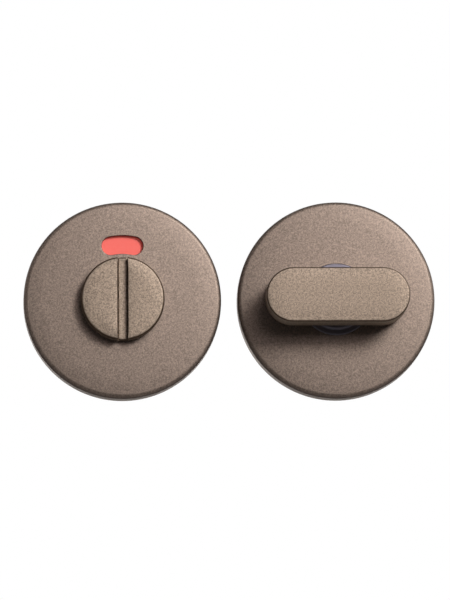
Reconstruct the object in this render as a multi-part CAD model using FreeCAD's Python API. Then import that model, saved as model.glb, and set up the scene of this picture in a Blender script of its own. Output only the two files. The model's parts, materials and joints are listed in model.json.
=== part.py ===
import FreeCAD, Part
import math
import os

V = FreeCAD.Vector

# ---------------------------------------------------------------------------
# Bathroom thumb turn lock set: an inside rose with a thumb turn and an outside
# rose with a coin release and a red/white indicator, laid side by side.
#
# Frame of the set (mm): X right, Z up, +Y into the door. The door face is the
# plane y = 0. The origin is on the thumb turn's spindle axis at the door face.
# Each half is drawn about its own axis with z pointing out of the door, then
# stood up and moved to its place.
# ---------------------------------------------------------------------------

# roses
ROSE_R = 26.0            # rose radius (52 mm rose)
ROSE_H = 8.1             # how far the rose stands off the door, at its middle
DOME_R = 20.0            # the face is a shallow dome out to here,
DOME_DEG = 3.4           # with this slope there,
RIM_DEG = 7.5            # and falls a little faster to this slope at the edge rounding
WALL = 0.9               # cover wall
EDGE_R = 1.3             # rounding of the cover's front edge
SET_SPACING = 56.25      # distance between the two axes as laid out

# fixing plates
BASE_R = 24.7            # outer radius of the plate
BASE_FLOOR = 3.4         # plate thickness
BASE_WALL_IN = 22.3      # inside of the plate's raised rim
BASE_TOP = 5.6           # top of the raised rim
BOSS_R = 10.5            # centre boss
BOSS_TOP = 5.1
RECESS_R = 9.5           # back recess for washer, spring and circlip
RECESS_TOP = 3.1
SLEEVE_R = 7.0           # bush seat
FIX_SPACING = 38.0       # distance between the two fixing bolts
PEG_L = 3.0              # pegs behind the outside plate
POCKET_D = 1.9           # moulding pockets behind the plate
POCKET_R1 = 11.6
POCKET_R2 = 21.2
RIB_W = 1.6

# necks and their retaining parts
NECK_R = 5.5
RUN_GAP = 0.05           # radial running clearance of a neck in its bush
NECK_END = 0.3           # back end of a neck, in front of the door face
GROOVE_R = 5.0
GROOVE_Z = (0.8, 1.7)
CLIP_Z = (0.85, 1.65)
CLIP_R = 7.4
SPRING_Z0 = 1.7
SPRING_H = 0.7
SPRING_T = 0.35
WASHER_Z = (2.6, 3.1)
WASHER_R = 8.4

# thumb turn
TURN_LEN = 37.7          # overall length of the obround bar
TURN_W = 14.35           # width of the bar
TURN_Z0 = 10.0           # underside of the bar
TURN_Z1 = 20.0           # face of the bar
TURN_EDGE = 0.5          # rounding of the face's rim
TURN_CROWN = 4.6         # width of the soft fall of the face towards its rim
TURN_CROWN_DEG = 3.6     # slope of that fall where the rounding begins
TURN_UNDER = 0.5         # rounding of the underside's rim

# bearing collar seen round the neck, staked into the cover
COLLAR_R = 9.5           # flange on the front of the cover
COLLAR_Z = 8.7           # top of the outer step
COLLAR_BOSS_R = 8.0
COLLAR_BOSS_Z = 9.6      # top of the inner step
COLLAR_HOLE = 9.0        # hole in the cover
COLLAR_BODY_R = 8.95     # collar in that hole
COLLAR_STAKE_R = 9.35    # staked edge behind the cover
COLLAR_SLEEVE_R = 8.75   # sleeve behind the cover
TURN_OPENING_R = 9.1     # opening of the inside plate, which the sleeve passes

# spindle and its set screw
SPINDLE_A = 6.0          # across flats
SPINDLE_BACK = -50.0     # back end, inside the door
SPINDLE_FRONT = 13.7
SOCKET_A = 6.1
SOCKET_FRONT = 13.9
GRUB_Z = 5.0
GRUB_R = 1.5
GRUB_L = 2.2

# through bolts and posts
BOLT_R = 2.0             # M4
BOLT_NECK_R = 1.65       # waisted neck under the head
BOLT_HEAD_R = 4.0
BOLT_HEAD_H = 2.2
BOLT_BACK = -46.0
POST_R = 3.2
POST_HEAD_R = 4.0
POST_HEAD_H = 1.0
POST_BACK = -22.0
POST_BORE_R = 1.65       # M4 tapping bore
POST_BORE_L = 20.0

# cover snap rings
SNAP_WIRE_R = 0.6
SNAP_R = 24.45
SNAP_Z = 3.0
SNAP_GAP_DEG = 36.0

# coin release
COIN_R = 11.0
COIN_Z0 = 8.3
COIN_Z1 = 11.7
COIN_EDGE = 0.7
COIN_CROWN = 4.0
COIN_CROWN_DEG = 5.0
SLOT_W = 2.7
SLOT_D = 1.8
SLOT_ROUND = 0.2
SLOT_RELIEF = (0.40, 0.95)  # width and depth of the relief in both bottom corners
SLOT_END = 0.6           # rounding of the floor's ends
SLOT_FALL = 2.4          # width of the soft fall of the face towards the slot
SLOT_FALL_DEG = 3.5
SHOULDER_R = 6.5
SHOULDER_HOLE = 6.8      # hole in the release cover
RELEASE_SOCKET_FRONT = 7.6

# indicator and its window
DISC_R = 17.8
DISC_Z = (5.85, 6.6)
BUSH_FLANGE_TOP = 5.5
WINDOW_MID_R = 14.6      # radius of the window's middle line
WINDOW_HALF = 2.42       # half of its height
WINDOW_HALF_DEG = 11.9   # middle line runs this far each side of 12 o'clock
WINDOW_ROUND = 0.22


# ---------------------------------------------------------------------------
# helpers
# ---------------------------------------------------------------------------
def profile(path):
    """Face in the x-z plane. path is a closed list of (r, z) points; an entry
    ("arc", (r, z) mid, (r, z) end) draws an arc from the last point."""
    edges = []
    start = V(path[0][0], 0, path[0][1])
    last = start
    for p in path[1:]:
        if p[0] == "arc":
            m = V(p[1][0], 0, p[1][1])
            e = V(p[2][0], 0, p[2][1])
            edges.append(Part.Arc(last, m, e).toShape())
            last = e
        else:
            e = V(p[0], 0, p[1])
            edges.append(Part.LineSegment(last, e).toShape())
            last = e
    if last.sub(start).Length > 1e-7:
        edges.append(Part.LineSegment(last, start).toShape())
    return Part.Face(Part.Wire(edges))


def revolve(path, first=0.0, sweep=360.0):
    """Solid of revolution about z of a profile."""
    face = profile(path)
    if first:
        face.rotate(V(0, 0, 0), V(0, 0, 1), first)
    s = face.revolve(V(0, 0, 0), V(0, 0, 1), sweep)
    if s.ShapeType != "Solid":
        s = Part.Solid(s) if s.ShapeType == "Shell" else s.Solids[0]
    return s


def corner(cr, cz, rad, a0, a1):
    """Arc entry about (cr, cz), from angle a0 (already reached) to a1."""
    am = math.radians(0.5 * (a0 + a1))
    ae = math.radians(a1)
    return ("arc",
            (cr + rad * math.cos(am), cz + rad * math.sin(am)),
            (cr + rad * math.cos(ae), cz + rad * math.sin(ae)))


def cyl(r, z0, z1, x=0.0, y=0.0):
    return Part.makeCylinder(r, z1 - z0, V(x, y, z0))


def cone(r0, r1, z0, z1, x=0.0, y=0.0):
    return Part.makeCone(r0, r1, z1 - z0, V(x, y, z0))


def block(x0, x1, y0, y1, z0, z1):
    return Part.makeBox(x1 - x0, y1 - y0, z1 - z0, V(x0, y0, z0))


def square_bar(a, z0, z1):
    return block(-a / 2, a / 2, -a / 2, a / 2, z0, z1)


def one(shape):
    shape = shape.removeSplitter()
    return shape.Solids[0] if len(shape.Solids) == 1 else shape


# ---------------------------------------------------------------------------
# covers
# ---------------------------------------------------------------------------
def cover(hole_r):
    """Pressed cup with a shallow domed face, a soft fall to a rounded edge and a
    centre hole."""
    r, h, t, e = ROSE_R, ROSE_H, WALL, EDGE_R
    lip = 0.25
    d1, d2 = math.radians(DOME_DEG), math.radians(RIM_DEG)
    rd = DOME_R / math.sin(d1)
    rim = r - e + e * math.sin(d2)
    rc = (rim - DOME_R) / (math.sin(d2) - math.sin(d1))
    xc = DOME_R - rc * math.sin(d1)
    zc = h - rd * (1 - math.cos(d1)) - rc * math.cos(d1)
    zf = zc + rc * math.cos(d2) - e * math.cos(d2)

    def slope(rad, x):
        return math.degrees(math.asin(x / rad))

    lip_a = slope(rd, hole_r + lip)
    lip_z = h - rd + rd * math.cos(math.radians(lip_a))
    in_a = slope(rd - t, hole_r)
    return revolve([
        (r - t, 0.0), (r - 0.3, 0.0), (r, 0.3), (r, zf),
        corner(r - e, zf, e, 0, 90 - RIM_DEG),
        corner(xc, zc, rc, 90 - RIM_DEG, 90 - DOME_DEG),
        corner(0.0, h - rd, rd, 90 - DOME_DEG, 90 - lip_a),
        corner(hole_r + lip, lip_z - lip, lip, 90, 180),
        (hole_r, h - rd + (rd - t) * math.cos(math.radians(in_a))),
        corner(0.0, h - rd, rd - t, 90 - in_a, 90 - DOME_DEG),
        corner(xc, zc, rc - t, 90 - DOME_DEG, 90 - RIM_DEG),
        corner(r - e, zf, e - t, 90 - RIM_DEG, 0),
    ])


def window_face(z, grow=0.0):
    rm, hw = WINDOW_MID_R, WINDOW_HALF + grow
    a = math.radians(WINDOW_HALF_DEG)

    def p(rad, ang):
        return V(rad * math.sin(ang), rad * math.cos(ang), z)

    def cap(side):
        c = p(rm, side * a)
        tip = V(math.cos(a) * side, -math.sin(a), 0)
        return c.add(tip.multiply(hw))

    r1, r2 = rm - hw, rm + hw
    w = Part.Wire([
        Part.Arc(p(r2, -a), p(r2, 0), p(r2, a)).toShape(),
        Part.Arc(p(r2, a), cap(1), p(r1, a)).toShape(),
        Part.Arc(p(r1, a), p(r1, 0), p(r1, -a)).toShape(),
        Part.Arc(p(r1, -a), cap(-1), p(r2, -a)).toShape(),
    ])
    return Part.Face(w)


turn_cover = cover(COLLAR_HOLE)

release_cover = cover(SHOULDER_HOLE)
release_cover = release_cover.cut(
    window_face(ROSE_H - WALL - 1.0).extrude(V(0, 0, WALL + 2.0)))


def on_window(e):
    b = e.BoundBox
    return (b.YMin > 9.0 and math.hypot(b.Center.x, b.Center.y) < 20.0
            and b.ZMin > ROSE_H - WALL + 0.15 and b.ZMax < ROSE_H)


release_cover = one(release_cover)
release_cover = release_cover.makeFillet(
    WINDOW_ROUND, [e for e in release_cover.Edges if on_window(e)])


# ---------------------------------------------------------------------------
# fixing plates
# ---------------------------------------------------------------------------
def base(peg_r, holes, with_pegs, middle):
    """Fixing plate. middle lists the inside of its centre, from front to back."""
    plate = revolve([
        (middle[-1][0], 0.0), (BASE_R - 0.3, 0.0), (BASE_R, 0.3),
        (BASE_R, SNAP_Z - 0.6), (BASE_R - 0.9, SNAP_Z - 0.6),
        (BASE_R - 0.9, SNAP_Z + 0.6), (BASE_R, SNAP_Z + 0.6),
        (BASE_R, BASE_TOP - 1.5), (BASE_R - 1.2, BASE_TOP),
        (BASE_WALL_IN, BASE_TOP), (BASE_WALL_IN, BASE_FLOOR),
        (BOSS_R, BASE_FLOOR), (BOSS_R, BOSS_TOP),
    ] + middle)
    # moulding pockets behind, with eight ribs left between them
    ring = cyl(POCKET_R2, -0.5, POCKET_D).cut(cyl(POCKET_R1, -0.6, POCKET_D + 0.1))
    ribs = []
    for i in range(4):
        b = block(-30, 30, -RIB_W / 2, RIB_W / 2, -1, POCKET_D + 1)
        b.rotate(V(0, 0, 0), V(0, 0, 1), 45.0 * i)
        ribs.append(b)
    for sx in (-1, 1):
        ribs.append(cyl(peg_r + 1.4, -1, POCKET_D + 1, sx * FIX_SPACING / 2))
    ring = ring.cut(ribs[0].multiFuse(ribs[1:]))
    plate = plate.cut(ring)
    # pegs that locate the plate in the door
    if with_pegs:
        pegs = []
        for sx in (-1, 1):
            x = sx * FIX_SPACING / 2
            pegs.append(cyl(peg_r, -PEG_L + 0.4, 0.5, x).fuse(
                cone(peg_r - 0.4, peg_r, -PEG_L, -PEG_L + 0.4, x)))
        plate = plate.multiFuse(pegs)
    for sx in (-1, 1):
        plate = plate.cut(holes(sx * FIX_SPACING / 2))
    return one(plate)


def bolt_hole(x):
    r = BOLT_R + 0.2
    return cyl(r, -PEG_L - 1, BASE_FLOOR + 1, x).fuse(
        cone(r, BOLT_HEAD_R + 0.25, BASE_FLOOR - BOLT_HEAD_H - 0.05,
             BASE_FLOOR, x)).fuse(
        cyl(BOLT_HEAD_R + 0.25, BASE_FLOOR, BASE_FLOOR + 1, x))


def post_hole(x):
    return cyl(POST_R, -PEG_L - 1, BASE_FLOOR + 1, x).fuse(
        cyl(POST_HEAD_R + 0.15, BASE_FLOOR, BASE_TOP + 1, x))


# the inside plate is open in the middle: cover, collar and turn lift off it as one
# unit, which uncovers the bolts; the outside plate carries its own bush
turn_base = base(3.75, bolt_hole, False, [(TURN_OPENING_R, BOSS_TOP)])
release_base = base(4.7, post_hole, True, [
    (SLEEVE_R, BOSS_TOP), (SLEEVE_R, RECESS_TOP), (RECESS_R, RECESS_TOP)])


# ---------------------------------------------------------------------------
# bearing collar (inside) and bush (outside)
# ---------------------------------------------------------------------------
bore_r = NECK_R + RUN_GAP
f1, f2, f3 = 0.35, 0.5, 0.25


def dome_z(x, depth):
    """Height of the cover's dome at radius x, this deep in its wall."""
    rd = DOME_R / math.sin(math.radians(DOME_DEG))
    return ROSE_H - rd + math.sqrt((rd - depth) ** 2 - x * x)


seat = dome_z(COLLAR_HOLE + 0.25, 0.0) + 0.01
stake = dome_z(COLLAR_STAKE_R, WALL) - 0.01
turn_collar = revolve([
    (bore_r, RECESS_TOP), (COLLAR_SLEEVE_R - 0.3, RECESS_TOP),
    (COLLAR_SLEEVE_R, RECESS_TOP + 0.3), (COLLAR_SLEEVE_R, stake - 0.8),
    (COLLAR_STAKE_R, stake - 0.2), (COLLAR_STAKE_R, stake),
    (COLLAR_BODY_R, stake), (COLLAR_BODY_R, seat),
    (COLLAR_R, seat), (COLLAR_R, COLLAR_Z - f1),
    corner(COLLAR_R - f1, COLLAR_Z - f1, f1, 0, 90),
    (COLLAR_BOSS_R + f3, COLLAR_Z),
    corner(COLLAR_BOSS_R + f3, COLLAR_Z + f3, f3, 270, 180),
    (COLLAR_BOSS_R, COLLAR_BOSS_Z - f2),
    corner(COLLAR_BOSS_R - f2, COLLAR_BOSS_Z - f2, f2, 0, 90),
    (bore_r + 0.2, COLLAR_BOSS_Z), (bore_r, COLLAR_BOSS_Z - 0.2),
])

release_bush = revolve([
    (bore_r, RECESS_TOP), (SLEEVE_R, RECESS_TOP), (SLEEVE_R, BOSS_TOP),
    (RECESS_R, BOSS_TOP), (RECESS_R, BUSH_FLANGE_TOP),
    (bore_r + 0.2, BUSH_FLANGE_TOP), (bore_r, BUSH_FLANGE_TOP - 0.2),
])


# ---------------------------------------------------------------------------
# thumb turn: obround bar and neck in one piece
# ---------------------------------------------------------------------------
def crowned(r, z0, z1, edge, crown, deg, under, chamfer=False):
    """Half section of a knob: flat middle, soft fall, rounded rim, side wall and
    a small rounding or bevel underneath."""
    c = math.radians(deg)
    rc = crown / math.sin(c)
    flat = r - edge + edge * math.sin(c) - crown
    zw = z1 - rc * (1 - math.cos(c)) - edge * math.cos(c)
    foot = ((r, z0 + under) if chamfer
            else corner(r - under, z0 + under, under, 270, 360))
    return [
        (0.0, z0), (r - under, z0), foot, (r, zw),
        corner(r - edge, zw, edge, 0, 90 - deg),
        corner(flat, z1 - rc, rc, 90 - deg, 90),
        (0.0, z1),
    ]


def crowned_bar(length, width, *section):
    """Obround bar: the half section run along both long sides and round both ends."""
    path = crowned(width / 2, *section)
    d = length / 2 - width / 2
    pieces = []
    for side in (-1, 1):
        f = profile(path)
        f.rotate(V(0, 0, 0), V(0, 0, 1), 90.0 * side)
        f.translate(V(-d, 0, 0))
        pieces.append(f.extrude(V(2 * d, 0, 0)))
        s = revolve(path, -90.0 * side, 180.0)
        s.translate(V(side * d, 0, 0))
        pieces.append(s)
    return one(pieces[0].multiFuse(pieces[1:]))


def neck_cut(shape, socket_front):
    groove = cyl(NECK_R + 1, *GROOVE_Z).cut(
        cyl(GROOVE_R, GROOVE_Z[0] - 1, GROOVE_Z[1] + 1))
    return shape.cut(groove).cut(
        square_bar(SOCKET_A, NECK_END - 1, socket_front))


bar = crowned_bar(TURN_LEN, TURN_W, TURN_Z0, TURN_Z1, TURN_EDGE, TURN_CROWN,
                  TURN_CROWN_DEG, TURN_UNDER)
neck = cyl(NECK_R, NECK_END + 0.3, TURN_Z0 + 1).fuse(
    cone(NECK_R - 0.3, NECK_R, NECK_END, NECK_END + 0.3))
thumb_turn = one(bar.fuse(neck))
thumb_turn = neck_cut(thumb_turn, SOCKET_FRONT)
grub_hole = Part.makeCylinder(GRUB_R, NECK_R, V(0, 1.0, GRUB_Z), V(0, 1, 0))
thumb_turn = one(thumb_turn.cut(grub_hole))

# square spindle with a small break on its long edges and a lead at its back end
spindle = square_bar(SPINDLE_A, SPINDLE_BACK, SPINDLE_FRONT)
spindle = spindle.makeChamfer(0.3, [
    e for e in spindle.Edges if e.BoundBox.ZLength > 10])
spindle = one(spindle.common(
    cyl(8.0, SPINDLE_BACK + 1.3, SPINDLE_FRONT).fuse(
        cone(2.9, 4.2, SPINDLE_BACK, SPINDLE_BACK + 1.3))))

# set screw, with its hexagon socket
g0 = SPINDLE_A / 2
spindle_grub_screw = Part.makeCylinder(
    GRUB_R, GRUB_L, V(0, g0, GRUB_Z), V(0, 1, 0))
hexagon = Part.makePolygon([
    V(0.85 * math.cos(math.radians(60 * i)), g0 + GRUB_L - 1.2,
      GRUB_Z + 0.85 * math.sin(math.radians(60 * i))) for i in range(7)])
spindle_grub_screw = spindle_grub_screw.cut(
    Part.Face(hexagon).extrude(V(0, 2.0, 0)))


# ---------------------------------------------------------------------------
# retaining parts, the same on both halves
# ---------------------------------------------------------------------------
def washer():
    z0, z1 = WASHER_Z
    return cyl(WASHER_R, z0, z1).cut(cyl(NECK_R + 0.2, z0 - 1, z1 + 1))


def disc_spring():
    ri, ro = NECK_R + 0.05, 7.9
    z0, h, t = SPRING_Z0, SPRING_H, SPRING_T
    return revolve([(ri, z0), (ro, z0 + h - t), (ro, z0 + h), (ri, z0 + t)])


def circlip():
    z0, z1 = CLIP_Z
    s = cyl(CLIP_R, z0, z1).cut(cyl(GROOVE_R, z0 - 1, z1 + 1))
    # opening at the bottom, with an eye on each side of it
    s = s.cut(block(-1.6, 1.6, -20, -2, z0 - 1, z1 + 1))
    for sx in (-1, 1):
        s = s.fuse(cyl(1.3, z0, z1, sx * 2.75, -6.9).cut(
            cyl(GROOVE_R, z0 - 1, z1 + 1)))
    for sx in (-1, 1):
        s = s.cut(cyl(0.6, z0 - 1, z1 + 1, sx * 2.75, -6.95))
    return one(s)


def snap_ring():
    c = Part.Circle(V(SNAP_R, 0, SNAP_Z), V(0, 1, 0), SNAP_WIRE_R)
    f = Part.Face(Part.Wire([c.toShape()]))
    f.rotate(V(0, 0, 0), V(0, 0, 1), -90.0 + SNAP_GAP_DEG / 2)
    s = f.revolve(V(0, 0, 0), V(0, 0, 1), 360.0 - SNAP_GAP_DEG)
    return s if s.ShapeType == "Solid" else s.Solids[0]


# ---------------------------------------------------------------------------
# through bolts and their posts
# ---------------------------------------------------------------------------
def bolt(x):
    top = BASE_FLOOR
    s = cone(BOLT_NECK_R, BOLT_HEAD_R - 0.15, top - BOLT_HEAD_H, top - 0.25, x)
    s = s.fuse(cyl(BOLT_HEAD_R - 0.15, top - 0.25, top, x))
    s = s.fuse(cyl(BOLT_NECK_R, 0.0, top - BOLT_HEAD_H, x))
    s = s.fuse(cyl(BOLT_R, BOLT_BACK + 0.6, 0.0, x))
    s = s.fuse(cone(BOLT_R - 0.6, BOLT_R, BOLT_BACK, BOLT_BACK + 0.6, x))
    s = one(s)
    s = s.cut(block(x - 2.1, x + 2.1, -0.45, 0.45, top - 1.3, top + 1))
    s = s.cut(block(x - 0.45, x + 0.45, -2.1, 2.1, top - 1.3, top + 1))
    return one(s)


def post(x):
    top = BASE_FLOOR + POST_HEAD_H
    s = cyl(POST_HEAD_R, BASE_FLOOR, top - 0.3, x).fuse(
        cone(POST_HEAD_R, POST_HEAD_R - 0.3, top - 0.3, top, x))
    s = s.fuse(cyl(POST_R, POST_BACK + 0.4, BASE_FLOOR, x))
    s = s.fuse(cone(POST_R - 0.4, POST_R, POST_BACK, POST_BACK + 0.4, x))
    s = one(s)
    s = s.cut(cyl(POST_BORE_R, POST_BACK - 1, POST_BACK + POST_BORE_L, x))
    s = s.cut(cone(POST_BORE_R + 0.45, POST_BORE_R, POST_BACK, POST_BACK + 0.45, x))
    return one(s)


fixing_screws = [bolt(-FIX_SPACING / 2), bolt(FIX_SPACING / 2)]
threaded_posts = [post(-FIX_SPACING / 2), post(FIX_SPACING / 2)]


# ---------------------------------------------------------------------------
# coin release and indicator
# ---------------------------------------------------------------------------
coin = revolve(crowned(COIN_R, COIN_Z0, COIN_Z1, COIN_EDGE, COIN_CROWN,
                       COIN_CROWN_DEG, 0.25, True))
release_neck = cyl(SHOULDER_R, DISC_Z[1], COIN_Z0 + 0.5).fuse(
    cyl(NECK_R, NECK_END + 0.3, DISC_Z[1] + 0.5)).fuse(
    cone(NECK_R - 0.3, NECK_R, NECK_END, NECK_END + 0.3))
release_turn = one(coin.fuse(release_neck))
release_turn = neck_cut(release_turn, RELEASE_SOCKET_FRONT)

# coin slot right across; the face falls softly towards it on both sides and its
# two top edges are rounded
hw, q, zb = SLOT_W / 2, SLOT_ROUND, COIN_Z1 - SLOT_D
fall = math.radians(SLOT_FALL_DEG)
fall_r = SLOT_FALL / math.sin(fall)
fall_top = COIN_Z1 + 0.003
zq = fall_top - fall_r * (1 - math.cos(fall)) - q * math.cos(fall)
x2 = hw + q - q * math.sin(fall) + SLOT_FALL
half_slot = profile([
    (0.0, zb), (hw - SLOT_RELIEF[0], zb),
    (hw - SLOT_RELIEF[0], zb - SLOT_RELIEF[1]), (hw, zb - SLOT_RELIEF[1]), (hw, zq),
    corner(hw + q, zq, q, 180, 90 + SLOT_FALL_DEG),
    corner(x2, fall_top - fall_r, fall_r, 90 + SLOT_FALL_DEG, 90),
    (x2, fall_top + 1.0), (0.0, fall_top + 1.0),
])
half_slot.translate(V(0, -COIN_R - 2, 0))
half_slot = half_slot.extrude(V(0, 2 * COIN_R + 4, 0))
other = half_slot.copy()
other.rotate(V(0, 0, 0), V(0, 0, 1), 180)
release_turn = one(release_turn.cut(half_slot.fuse(other)))

# both ends of the slot's floor are rounded off at the knob's wall
ends = revolve([
    (COIN_R - SLOT_END, zb + 0.1), (COIN_R - SLOT_END, zb),
    corner(COIN_R - SLOT_END, zb - SLOT_END, SLOT_END, 90, 0),
    (COIN_R + 0.5, zb - SLOT_END), (COIN_R + 0.5, zb + 0.1),
]).common(block(-hw, hw, -COIN_R - 2, COIN_R + 2, COIN_Z0, COIN_Z1))
release_turn = one(release_turn.cut(ends))

indicator_disc = cyl(DISC_R, *DISC_Z).cut(
    cyl(NECK_R, DISC_Z[0] - 1, DISC_Z[1] + 1))


# ---------------------------------------------------------------------------
# stand each half up and place it
# ---------------------------------------------------------------------------
def placed(shapes, x):
    if not isinstance(shapes, list):
        shapes = [shapes]
    out = []
    for s in shapes:
        s = s.Solids[0].copy()
        s.rotate(V(0, 0, 0), V(1, 0, 0), 90)
        s.translate(V(x, 0, 0))
        out.append(s)
    return out[0] if len(out) == 1 else Part.makeCompound(out)


XT, XR = 0.0, -SET_SPACING
nodes = {
    "turn_cover": placed(turn_cover, XT),
    "turn_base": placed(turn_base, XT),
    "turn_collar": placed(turn_collar, XT),
    "thumb_turn": placed(thumb_turn, XT),
    "spindle": placed(spindle, XT),
    "spindle_grub_screw": placed(spindle_grub_screw, XT),
    "turn_thrust_washer": placed(washer(), XT),
    "turn_disc_spring": placed(disc_spring(), XT),
    "turn_circlip": placed(circlip(), XT),
    "fixing_screws": placed(fixing_screws, XT),
    "turn_snap_ring": placed(snap_ring(), XT),
    "release_cover": placed(release_cover, XR),
    "release_base": placed(release_base, XR),
    "release_bush": placed(release_bush, XR),
    "release_turn": placed(release_turn, XR),
    "indicator_disc": placed(indicator_disc, XR),
    "release_thrust_washer": placed(washer(), XR),
    "release_disc_spring": placed(disc_spring(), XR),
    "release_circlip": placed(circlip(), XR),
    "threaded_posts": placed(threaded_posts, XR),
    "release_snap_ring": placed(snap_ring(), XR),
}

os.makedirs("parts", exist_ok=True)
for name, shape in nodes.items():
    print("%-24s %-9s solids %d valid %s vol %.1f" % (
        name, shape.ShapeType, len(shape.Solids), shape.isValid(), shape.Volume))
    shape.exportStep("parts/%s.step" % name)
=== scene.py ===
import bmesh
import bpy
import json
import math
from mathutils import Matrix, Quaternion, Vector


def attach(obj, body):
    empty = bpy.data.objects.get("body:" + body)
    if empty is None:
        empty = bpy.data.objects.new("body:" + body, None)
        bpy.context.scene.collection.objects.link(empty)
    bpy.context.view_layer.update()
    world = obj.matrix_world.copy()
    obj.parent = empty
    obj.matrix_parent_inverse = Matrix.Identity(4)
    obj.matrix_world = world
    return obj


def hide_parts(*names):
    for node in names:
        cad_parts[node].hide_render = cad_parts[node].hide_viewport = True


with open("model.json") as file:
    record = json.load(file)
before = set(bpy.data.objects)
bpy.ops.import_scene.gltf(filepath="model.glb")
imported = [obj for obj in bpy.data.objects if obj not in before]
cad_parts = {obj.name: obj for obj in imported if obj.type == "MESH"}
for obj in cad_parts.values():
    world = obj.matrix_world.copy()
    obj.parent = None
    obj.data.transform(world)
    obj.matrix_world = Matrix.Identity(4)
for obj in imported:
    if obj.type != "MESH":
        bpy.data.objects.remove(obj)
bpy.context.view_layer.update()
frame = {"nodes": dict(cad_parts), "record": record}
nodes = frame["nodes"]

MM = 0.001
SET_SPACING = 0.05625

scene = bpy.context.scene
scene.view_settings.view_transform = "Standard"
scene.view_settings.look = "None"
scene.view_settings.exposure = 0.0
scene.view_settings.gamma = 1.0


# ---------------------------------------------------------------------------
# node helpers
# ---------------------------------------------------------------------------
class Tree:
    """A small wrapper that keeps the material code short."""

    def __init__(self, name):
        self.mat = bpy.data.materials.new(name)
        self.mat.use_nodes = True
        self.nt = self.mat.node_tree
        self.nt.nodes.clear()
        self.out = self.new("ShaderNodeOutputMaterial")
        self.bsdf = self.new("ShaderNodeBsdfPrincipled")
        self.link(self.bsdf.outputs[0], self.out.inputs[0])
        self.coord = self.new("ShaderNodeTexCoord").outputs["Object"]

    def new(self, kind, **props):
        n = self.nt.nodes.new(kind)
        for k, v in props.items():
            setattr(n, k, v)
        return n

    def link(self, a, b):
        self.nt.links.new(a, b)

    def put(self, sock, v):
        if isinstance(v, bpy.types.NodeSocket):
            self.link(v, sock)
        else:
            sock.default_value = v

    def set(self, **kw):
        for k, v in kw.items():
            self.put(self.bsdf.inputs[k.replace("_", " ")], v)

    def noise(self, scale, detail=3.0, rough=0.55, vec=None, out="Fac"):
        n = self.new("ShaderNodeTexNoise")
        self.link(vec if vec is not None else self.coord, n.inputs["Vector"])
        n.inputs["Scale"].default_value = scale
        n.inputs["Detail"].default_value = detail
        n.inputs["Roughness"].default_value = rough
        return n.outputs[out]

    def ramp(self, fac, stops):
        n = self.new("ShaderNodeValToRGB")
        el = n.color_ramp.elements
        while len(el) > 1:
            el.remove(el[-1])
        for i, (pos, col) in enumerate(stops):
            e = el[0] if i == 0 else el.new(pos)
            e.position = pos
            e.color = (*col, 1.0) if len(col) == 3 else col
        self.link(fac, n.inputs[0])
        return n.outputs[0]

    def remap(self, v, a, b, c, d):
        n = self.new("ShaderNodeMapRange")
        self.put(n.inputs[0], v)
        for i, x in enumerate((a, b, c, d)):
            n.inputs[i + 1].default_value = x
        return n.outputs[0]

    def math(self, op, a, b=0.0):
        n = self.new("ShaderNodeMath", operation=op)
        self.put(n.inputs[0], a)
        self.put(n.inputs[1], b)
        return n.outputs[0]

    def mix(self, fac, a, b, mode="MIX"):
        n = self.new("ShaderNodeMix", data_type="RGBA", blend_type=mode)
        self.put(n.inputs[0], fac)
        for s, v in ((n.inputs[6], a), (n.inputs[7], b)):
            if isinstance(v, bpy.types.NodeSocket):
                self.link(v, s)
            else:
                s.default_value = (*v, 1.0)
        return n.outputs[2]

    def bump(self, height, dist, strength=1.0, normal=None):
        n = self.new("ShaderNodeBump")
        n.inputs["Strength"].default_value = strength
        n.inputs["Distance"].default_value = dist
        self.link(height, n.inputs["Height"])
        if normal is not None:
            self.link(normal, n.inputs["Normal"])
        return n.outputs[0]


def srgb(r, g, b):
    def f(c):
        c /= 255.0
        return c / 12.92 if c <= 0.04045 else ((c + 0.055) / 1.055) ** 2.4
    return (f(r), f(g), f(b))


# ---------------------------------------------------------------------------
# materials
# ---------------------------------------------------------------------------
def bronze(name, mid, grain_lo, grain_hi, painted_edge_shade, shade_start_facing, shade_full_facing):
    """Satin metallic lacquer: a fine warm grain over a soft metal base, with painted shade:
    the colour is darkened where the front edges turn over to the sides."""
    t = Tree(name)
    fine = t.noise(3400.0, 2.0, 0.6)
    coarse = t.noise(1700.0, 1.0, 0.5)
    grain = t.math("ADD", t.math("MULTIPLY", fine, 0.6), t.math("MULTIPLY", coarse, 0.4))
    col = t.ramp(grain, [(0.34, tuple(c * grain_lo for c in mid)), (0.50, mid),
                         (0.66, tuple(c * grain_hi for c in mid))])
    # painted shade: a dark edge colour takes over as the object-space normal turns from the front
    # towards the sides
    sep = t.new("ShaderNodeSeparateXYZ")
    t.link(t.new("ShaderNodeTexCoord").outputs["Normal"], sep.inputs[0])
    front = t.math("MULTIPLY", sep.outputs["Y"], -1.0)
    painted_edge_shade_mask = t.math("MULTIPLY", t.remap(front, shade_start_facing, shade_full_facing, 0.0, 1.0),
                    t.remap(front, 0.02, 0.12, 0.0, 1.0))
    col = t.mix(painted_edge_shade_mask, col, painted_edge_shade)
    t.set(Base_Color=col, Metallic=0.95,
          Roughness=t.remap(coarse, 0.3, 0.7, 0.56, 0.60),
          Normal=t.bump(grain, 0.00003, 0.25))
    return t.mat


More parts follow.
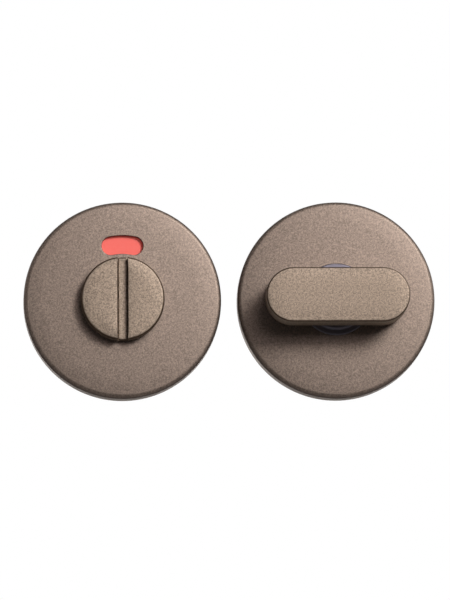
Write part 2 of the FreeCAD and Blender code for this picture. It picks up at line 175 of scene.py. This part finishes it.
def indicator():
    """Moulded disc: a red field at the top and white round the rest of it; the red field carries a
    painted glow.
    """
    t = Tree("indicator_face")
    sep = t.new("ShaderNodeSeparateXYZ")
    t.link(t.coord, sep.inputs[0])
    ang = t.math("ARCTAN2", t.math("ADD", sep.outputs["X"], SET_SPACING), sep.outputs["Z"])
    red = t.math("LESS_THAN", t.math("ABSOLUTE", ang), math.radians(45.0))
    n = t.noise(900.0, 3.0, 0.55)
    reds = t.ramp(n, [(0.3, (0.93, 0.142, 0.112)), (0.7, (0.97, 0.160, 0.128))])
    whites = t.ramp(n, [(0.3, (0.80, 0.80, 0.78)), (0.7, (0.86, 0.86, 0.84))])
    # painted light: the red field glows a little from a weak emission of its own, lifting it brighter
    # than the lamps alone light it
    t.set(Base_Color=t.mix(red, whites, reds),
          Emission_Color=(1.0, 0.12, 0.08, 1.0), Emission_Strength=t.math("MULTIPLY", red, 0.10),
          Roughness=t.remap(n, 0.3, 0.7, 0.38, 0.46),
          Normal=t.bump(n, 0.000005, 0.2))
    return t.mat


def plain(name, col, metal, rough, grain=0.1, scale=1500.0, bump=0.00001):
    t = Tree(name)
    n = t.noise(scale, 3.0, 0.55)
    lo = tuple(c * (1.0 - grain) for c in col)
    hi = tuple(min(1.0, c * (1.0 + grain)) for c in col)
    t.set(Base_Color=t.ramp(n, [(0.3, lo), (0.7, hi)]), Metallic=metal,
          Roughness=t.remap(n, 0.3, 0.7, rough * 0.9, rough * 1.1),
          Normal=t.bump(n, bump, 0.3))
    return t.mat


def steel(name, col, rough, along=0.06, grain=0.12):
    """Drawn or plated steel with faint lines along Y."""
    t = Tree(name)
    mp = t.new("ShaderNodeMapping")
    mp.inputs["Scale"].default_value = (1.0, along, 1.0)
    t.link(t.coord, mp.inputs["Vector"])
    lines = t.noise(2600.0, 3.0, 0.55, mp.outputs[0])
    spots = t.noise(700.0, 3.0, 0.6)
    n = t.math("ADD", t.math("MULTIPLY", lines, 0.6), t.math("MULTIPLY", spots, 0.4))
    lo = tuple(c * (1.0 - grain) for c in col)
    hi = tuple(min(1.0, c * (1.0 + grain)) for c in col)
    t.set(Base_Color=t.ramp(n, [(0.35, lo), (0.65, hi)]), Metallic=1.0,
          Roughness=t.remap(spots, 0.3, 0.7, rough * 0.85, rough * 1.2),
          Normal=t.bump(lines, 0.000004, 0.12))
    return t.mat


M = {
    # last three values: the painted edge-shade colour and the facing range over which it takes over
    "bronze_lacquer": bronze("bronze_lacquer", (0.302, 0.231, 0.188), 0.70, 1.35,
                             (0.140, 0.104, 0.088), 0.82, 0.50),
    "moulded_nylon": plain("moulded_nylon", (0.022, 0.022, 0.024), 0.0, 0.46, 0.15, 2200.0, 0.00003),
    "white_acetal": plain("white_acetal", (0.74, 0.73, 0.69), 0.0, 0.38, 0.04),
    "zinc_plated_steel": steel("zinc_plated_steel", (0.66, 0.67, 0.70), 0.42),
    "spring_steel": steel("spring_steel", (0.15, 0.15, 0.16), 0.34),
    "plated_collar": plain("plated_collar", (0.262, 0.238, 0.276), 1.0, 0.36, 0.05, 1500.0, 0.000006),
    "indicator_face": indicator(),
}

# The two cast knobs carry the same lacquer, a little lighter and with a coarser grain.
CAST = {
    # each knob: base tone, grain range, then its painted edge-shade colour and facing range
    "thumb_turn": bronze("bronze_lacquer_turn", (0.352, 0.271, 0.208), 0.64, 1.42,
                         (0.140, 0.098, 0.070), 0.982, 0.88),
    "release_turn": bronze("bronze_lacquer_coin", (0.352, 0.271, 0.208), 0.62, 1.44,
                           (0.128, 0.086, 0.058), 0.955, 0.82),
}

for sub in frame["record"]["subparts"]:
    o = nodes[sub["node"]]
    o.data.materials.clear()
    o.data.materials.append(CAST.get(sub["node"]) or M[sub["material_slot"]])


# ---------------------------------------------------------------------------
# M4 threads on the through bolts and in the posts
# ---------------------------------------------------------------------------
PITCH = 0.7 * MM
FIX_X = (-19.0 * MM, 19.0 * MM)


def helix(verts, faces, x, y0, y1, low, high, limit, inside=False, segs=28):
    """A right-hand thread round the line at x, along +Y from y0 to y1, between the
    radii low and high; limit(y) holds the radius down near an end."""
    shape = ((0.0, low), (0.25, low), (0.5625, high), (0.6875, high))
    n, first = len(shape), len(verts)
    steps = (math.ceil((y1 - y0) / PITCH) + 2) * segs
    for i in range(steps + 1):
        c, s = math.cos(-math.tau * i / segs), math.sin(-math.tau * i / segs)
        for f, r in shape:
            y = min(max(y0 + (i / segs + f - 1.0) * PITCH, y0), y1)
            r = min(r, limit(y))
            verts.append((x + r * c, y, r * s))
    for i in range(steps):
        for k in range(n):
            p, q = first + i * n + k, first + (i + 1) * n + k
            if k < n - 1:
                face = (p, q, q + 1, p + 1)
            elif i + segs + 1 <= steps:
                face = (p, q, first + (i + segs + 1) * n, first + (i + segs) * n)
            else:
                continue
            faces.append(face[::-1] if inside else face)


def disc(verts, faces, x, y, r, out, segs=28):
    first = len(verts)
    for i in range(segs):
        ang = math.tau * i / segs
        verts.append((x + r * math.cos(ang), y, r * math.sin(ang)))
    ring = tuple(range(first, first + segs))
    faces.append(ring[::-1] if out > 0 else ring)


def kept(node, drop):
    """Vertices and faces of a node without the faces that drop() names."""
    bm = bmesh.new()
    bm.from_mesh(nodes[node].data)
    bmesh.ops.remove_doubles(bm, verts=bm.verts, dist=1e-7)
    bm.normal_update()
    bm.verts.index_update()
    verts = [tuple(v.co) for v in bm.verts]
    faces = [tuple(v.index for v in f.verts) for f in bm.faces if not drop(f)]
    bm.free()
    return verts, faces


def threaded(node, verts, faces):
    me = bpy.data.meshes.new(node + "_threaded")
    me.from_pydata(verts, [], faces)
    me.update()
    me.polygons.foreach_set("use_smooth", [True] * len(me.polygons))
    me.set_sharp_from_angle(angle=math.radians(32.0))
    o = bpy.data.objects.new(node + "_threaded", me)
    scene.collection.objects.link(o)
    me.materials.append(M["zinc_plated_steel"])
    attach(o, "roses")
    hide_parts(node)
    return o


BOLT_END = 46.0 * MM
verts, faces = kept("fixing_screws", lambda f: all(v.co.y > -1e-6 for v in f.verts))
for x in FIX_X:
    helix(verts, faces, x, 0.0, BOLT_END, 1.63 * MM, 2.0 * MM,
          lambda y: min(2.0 * MM, 1.4 * MM + (BOLT_END - y)))
    disc(verts, faces, x, BOLT_END, 1.4 * MM, 1)
    disc(verts, faces, x, 0.0, 1.98 * MM, -1)
threaded("fixing_screws", verts, faces)

MOUTH = 21.55 * MM


def on_bore(f):
    if abs(f.normal.y) > 0.2:
        return False
    for x in FIX_X:
        if all(abs(math.hypot(v.co.x + SET_SPACING - x, v.co.z) - 1.65 * MM) < 0.02 * MM
               for v in f.verts):
            return True
    return False


verts, faces = kept("threaded_posts", on_bore)
for x in FIX_X:
    helix(verts, faces, x - SET_SPACING, 2.0 * MM, MOUTH, 1.65 * MM, 2.0 * MM,
          lambda y: 1.65 * MM + max(0.0, min(MOUTH - y, y - 2.0 * MM)), inside=True)
threaded("threaded_posts", verts, faces)


# ---------------------------------------------------------------------------
# stage, light and camera
# ---------------------------------------------------------------------------
def area(name, pos, aim, size, power, colour=(1, 1, 1), size_y=None):
    d = bpy.data.lights.new(name, "AREA")
    d.energy = power
    d.color = colour
    d.shape = "RECTANGLE" if size_y else "SQUARE"
    d.size = size
    if size_y:
        d.size_y = size_y
    o = bpy.data.objects.new(name, d)
    scene.collection.objects.link(o)
    o.location = pos
    o.rotation_euler = (Vector(aim) - Vector(pos)).to_track_quat("-Z", "Y").to_euler()
    o.visible_camera = False
    return o


CENTRE = Vector((-0.0281, -0.009, 0.0))

# Soft panels a long way in front, parallel to the roses. Each is given by the
# slopes it spans to the right and up, seen from the set, and by its brightness.
PANEL_DIST = 5.0
KEY_TINT, SOFT_TINT = (0.975, 1.0, 1.0), (1.0, 0.965, 1.0)
PANELS = {
    "key": (0.42, 0.84, 0.37, 0.80, 30.0, KEY_TINT),
    "key_soft": (0.10, 0.60, 0.16, 0.60, 4.0, SOFT_TINT),
    "top": (0.10, 1.60, 0.85, 1.25, 2.5, SOFT_TINT),
    "fill": (-0.50, 0.10, 0.30, 0.85, 0.3, SOFT_TINT),
    "bounce": (-0.60, 1.00, -1.30, -0.35, 0.1, SOFT_TINT),
    "left_low": (-2.20, -0.70, -1.10, 0.50, 0.15, SOFT_TINT),
}
for name, (x0, x1, z0, z1, level, tint) in PANELS.items():
    pos = CENTRE + Vector(((x0 + x1) / 2, -1.0, (z0 + z1) / 2)) * PANEL_DIST
    w, h = (x1 - x0) * PANEL_DIST, (z1 - z0) * PANEL_DIST
    area(name, pos, pos + Vector((0, 1, 0)), w, math.pi * w * h * level, tint, h)
area("low", (-0.03, 0.9, -0.12), (-0.03, 0.0, 0.0), 1.4, 2.2, (1, 1, 1), 0.24)
# light from straight below, and round the sides and the back of the set
SIDES = (
    ("below", (-0.03, 0.12, -0.295), (0, 0, 1), 1.2, 0.30, 0.55),
    ("back", (-0.03, 3.0, 1.3), (0, -1, 0), 5.0, 2.2, 2.0),
    ("right", (3.0, 1.6, 0.9), (-1, 0, 0), 3.0, 2.2, 1.6),
    ("left", (-3.0, 1.6, 0.9), (1, 0, 0), 3.0, 2.2, 1.3),
)
for name, pos, way, w, h, level in SIDES:
    area(name, pos, Vector(pos) + Vector(way), w, math.pi * w * h * level, (1, 1, 1), h)
area("overhead", (-0.03, 0.95, 1.25), (-0.03, 0.25, -0.3), 1.5, 4.0)

floor_mesh = bpy.data.meshes.new("floor")
fz, fs = -0.31, 5.0
floor_mesh.from_pydata([(-fs, -fs, fz), (fs, -fs, fz), (fs, fs, fz), (-fs, fs, fz)], [], [(0, 1, 2, 3)])
floor = bpy.data.objects.new("floor", floor_mesh)
scene.collection.objects.link(floor)
floor.visible_diffuse = False
floor.visible_glossy = False
ft = Tree("floor_pale")
pale = ft.ramp(ft.noise(3.0), [(0.3, (0.84, 0.84, 0.84)), (0.7, (0.88, 0.88, 0.88))])
ft.set(Base_Color=ft.mix(0.75, pale, (0.0, 0.0, 0.0)), Roughness=0.8, Specular_IOR_Level=0.0,
       Emission_Color=pale, Emission_Strength=0.88)
floor_mesh.materials.append(ft.mat)

world = bpy.data.worlds.new("studio")
scene.world = world
world.use_nodes = True
wn = world.node_tree
wn.nodes.clear()
wo = wn.nodes.new("ShaderNodeOutputWorld")
lp = wn.nodes.new("ShaderNodeLightPath")
mixs = wn.nodes.new("ShaderNodeMixShader")
dim = wn.nodes.new("ShaderNodeBackground")
dim.inputs[0].default_value = (1, 1, 1, 1)
dim.inputs[1].default_value = 0.018
white = wn.nodes.new("ShaderNodeBackground")
white.inputs[0].default_value = (1, 1, 1, 1)
white.inputs[1].default_value = 1.0
wn.links.new(lp.outputs["Is Camera Ray"], mixs.inputs[0])
wn.links.new(dim.outputs[0], mixs.inputs[1])
wn.links.new(white.outputs[0], mixs.inputs[2])
wn.links.new(mixs.outputs[0], wo.inputs[0])

AZ, EL, DIST, FRAME_H = math.radians(-2.0), math.radians(-6.6), 2.0, 0.1584
ROLL = math.radians(-0.3)
back = Vector((math.sin(AZ) * math.cos(EL), -math.cos(AZ) * math.cos(EL), math.sin(EL)))
target = Vector((-0.02902, 0.0004, 0.00086))
cam_data = bpy.data.cameras.new("camera")
cam_data.sensor_width = 36.0
cam_data.lens = 36.0 * DIST / FRAME_H
cam_data.clip_start = 0.05
cam_data.clip_end = 20.0
cam = bpy.data.objects.new("camera", cam_data)
scene.collection.objects.link(cam)
cam.location = target + back * DIST
turn = (-back).to_track_quat("-Z", "Y")
cam.rotation_euler = (turn @ Quaternion((0, 0, 1), ROLL)).to_euler()
scene.camera = cam
